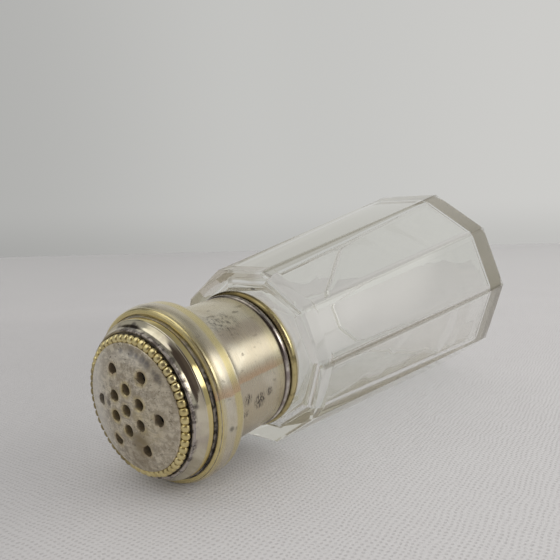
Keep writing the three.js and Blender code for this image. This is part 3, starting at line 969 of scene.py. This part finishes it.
def cloth():
    """Non-woven cloth with rows of dimples and painted shade towards the left; it fades out far away
    and right of the camera.
    """
    half_size, below = 1.6, 0.2 * MM
    bm = bmesh.new()
    bmesh.ops.create_grid(bm, x_segments=1, y_segments=1, size=half_size)
    mesh = bpy.data.meshes.new("cloth")
    bm.to_mesh(mesh)
    bm.free()
    obj = bpy.data.objects.new("cloth", mesh)
    bpy.context.scene.collection.objects.link(obj)
    obj.location = (0, 0, -below)
    look = Look("white_cloth", laid=False)
    pitch, weave_turn = 1.62, math.radians(40)
    weave = look.add("ShaderNodeMapping", {
        "Vector": look.coords, "Rotation": (0, 0, weave_turn),
        "Scale": (1000 / pitch,) * 3}).outputs[0]
    warp = look.add("ShaderNodeTexNoise", {"Vector": look.coords, "Scale": 130.0, "Detail": 3.0})
    moved = look.vector("ADD", weave, look.scaled(warp.outputs["Color"], 1.6))
    split = look.add("ShaderNodeSeparateXYZ", {0: moved}).outputs
    waves = [look.math("SINE", look.times(split[axis], 2 * math.pi)) for axis in (0, 1)]
    dots = look.ramp(look.times(*waves), 0.1, 0.8)
    fibre = look.noise(1500.0, 4.0, 0.7)
    swell = look.noise(14.0, 2.0, 0.5)
    shown = look.times(dots, look.ramp(look.noise(300.0), 0.3, 0.6, 0.3, 1.0))
    base = look.mix(shown, (0.515, 0.503, 0.502), (0.40, 0.385, 0.382))
    base = look.mix(look.ramp(fibre, 0.35, 0.7, 0.0, 0.35), base, (0.455, 0.44, 0.435))
    base = look.mix(look.ramp(swell, 0.35, 0.65, 0.0, 0.3), base, (0.53, 0.52, 0.515))
    across = look.vector("DOT_PRODUCT", look.coords, RIGHT)
    away = look.vector("DOT_PRODUCT", look.coords, VIEW)
    far = look.vector("LENGTH", look.coords)
    base = look.mix(look.ramp(far, 0.2, 0.6), base, (0.50, 0.49, 0.485))
    # Painted shade: the cloth is darker towards the left and at the near left
    shade = look.ramp(across, -0.25, 0.12, 0.26, 0.0)
    near_left = look.times(look.ramp(across, -0.03, -0.08, 0.0, 0.42), look.fall(away, 0.08, 0.35))
    base = look.mix(look.most(shade, near_left), base, (0.30, 0.295, 0.295))
    look.set(Base_Color=base, Roughness=0.9)
    height = look.plus(look.times(dots, -1.0), look.times(fibre, 0.7), look.times(swell, 6.0))
    look.bump(height, 0.4, 0.00026)
    front = look.vector("DOT_PRODUCT", look.coords, (0.97, -0.24, 0.0))
    edge = look.most(look.ramp(away, 0.91, 0.96), look.ramp(far, 1.2, 1.5),
                     look.ramp(front, 0.165, 0.21))
    look.show(look.blend(edge, look.shader, look.clear()))
    mesh.materials.append(look.material)


def direction(azimuth, elevation):
    """Unit vector; azimuth goes from +Y towards +X, in degrees."""
    a, e = math.radians(azimuth), math.radians(elevation)
    return (math.sin(a) * math.cos(e), math.cos(a) * math.cos(e), math.sin(e))


# Areas of the room: azimuth, elevation, inner and outer half angle, and brightness
ROOM = [
    (-38, 8, 40, 72, (0.66, 0.66, 0.64)),
    (0, 90, 20, 50, (0.34, 0.34, 0.33)),
    (138, 28, 32, 50, (0.090, 0.074, 0.070)),
    (166, 3, 14, 30, (0.130, 0.110, 0.100)),
    (-87, 33, 12, 22, (0.070, 0.063, 0.056)),
    (43, 24, 9, 16, (1.50, 1.48, 1.38)),
    (58, 25, 10, 16, (1.95, 1.92, 1.80)),
    (77, 28, 10, 16, (2.7, 2.65, 2.5)),
    (-133, 64, 15, 23, (1.50, 1.49, 1.40)),
    (-165, 66, 15, 23, (1.40, 1.39, 1.32)),
    (-153, 46, 10, 20, (1.30, 1.29, 1.21)),
    (-150, 32, 6, 16, (1.10, 1.09, 1.02)),
]
# The plainer room that is seen through the glass
CALM = [
    (140, 20, 20, 90, (0.36, 0.345, 0.32)),
    (72, 30, 12, 30, (0.80, 0.80, 0.77)),
    (0, 90, 20, 60, (0.50, 0.50, 0.485)),
]


def world():
    """A pale room with windows and a dark side; behind the object, a plain wall."""
    room = bpy.data.worlds.new("room")
    room.cycles.sampling_method = "NONE"
    bpy.context.scene.world = room
    room.use_nodes = True
    sky = Graph(room.node_tree)
    ray = sky.add("ShaderNodeTexCoord").outputs["Generated"]

    def along(way):
        return sky.vector("DOT_PRODUCT", ray, way)

    def with_areas(colour, areas):
        for azimuth, elevation, inner, outer, shine in areas:
            middle = along(direction(azimuth, elevation))
            inside = sky.ramp(middle, math.cos(math.radians(outer)), math.cos(math.radians(inner)))
            colour = sky.mix(inside, colour, shine)
        return colour

    wall = sky.mix(sky.ramp(along(RIGHT), -0.5, 0.0), (0.435, 0.435, 0.424), (0.552, 0.552, 0.536))
    wall = sky.mix(sky.ramp(along(RIGHT), 0.0, 0.5), wall, (0.612, 0.608, 0.590))
    low = sky.fall(along((0, 0, 1)), -0.055, 0.03)
    wall = sky.mix(sky.times(low, 0.16), wall, (0.10, 0.10, 0.095))
    path = sky.add("ShaderNodeLightPath").outputs
    seen = sky.mix(sky.above(path["Transmission Depth"], 0.5),
                   with_areas((0.42, 0.42, 0.405), ROOM), with_areas((0.56, 0.56, 0.545), CALM))
    seen = sky.mix(sky.above(path["Diffuse Depth"], 0.5), seen, (0.82, 0.82, 0.82))
    seen = sky.mix(path["Is Camera Ray"], seen, wall)
    shown = sky.add("ShaderNodeBackground", {0: seen, 1: 1.0})
    sky.add("ShaderNodeOutputWorld", {0: shown.outputs[0]})


def lamp(name, azimuth, elevation, distance, size, power, colour):
    """A round lamp that points at the object and isn't seen itself."""
    data = bpy.data.lights.new(name, "AREA")
    data.shape = "DISK"
    data.size = size
    data.energy = power
    data.color = colour
    obj = bpy.data.objects.new(name, data)
    bpy.context.scene.collection.objects.link(obj)
    obj.location = Vector(direction(azimuth, elevation)) * distance
    obj.rotation_euler = (-obj.location).to_track_quat("-Z", "Y").to_euler()
    obj.visible_camera = False
    obj.visible_glossy = False
    obj.visible_transmission = False


def camera():
    """Place, turn and lens as fitted to the photograph."""
    data = bpy.data.cameras.new("camera")
    data.sensor_width = 36.0
    data.lens = 36.683
    data.clip_start = 0.005
    data.clip_end = 20.0
    obj = bpy.data.objects.new("camera", data)
    bpy.context.scene.collection.objects.link(obj)
    obj.location = Vector((98.292, -144.236, 59.197)) * MM
    obj.rotation_mode = "QUATERNION"
    obj.rotation_quaternion = Quaternion((0.706031, 0.629688, 0.225381, 0.232842))
    bpy.context.scene.camera = obj


camera()
bottle()
collar()
cement()
thread_ring()
mouth_wire()
sleeve()
moulding()
beads()
plate()
washer = frame["nodes"]["seal_washer"]
washer.data.materials.clear()
washer.data.materials.append(leather_look())
cloth()
world()
lamp("window", azimuth=66, elevation=27, distance=1.5, size=1.2, power=7.5, colour=(1.0, 0.99, 0.97))
lamp("ceiling", azimuth=-20, elevation=78, distance=1.8, size=2.2, power=3.0, colour=(1, 1, 1))
lamp("wall", azimuth=148, elevation=20, distance=1.4, size=1.4, power=8.5, colour=(1.0, 0.955, 0.91))

scene = bpy.context.scene
scene.view_settings.view_transform = "Standard"
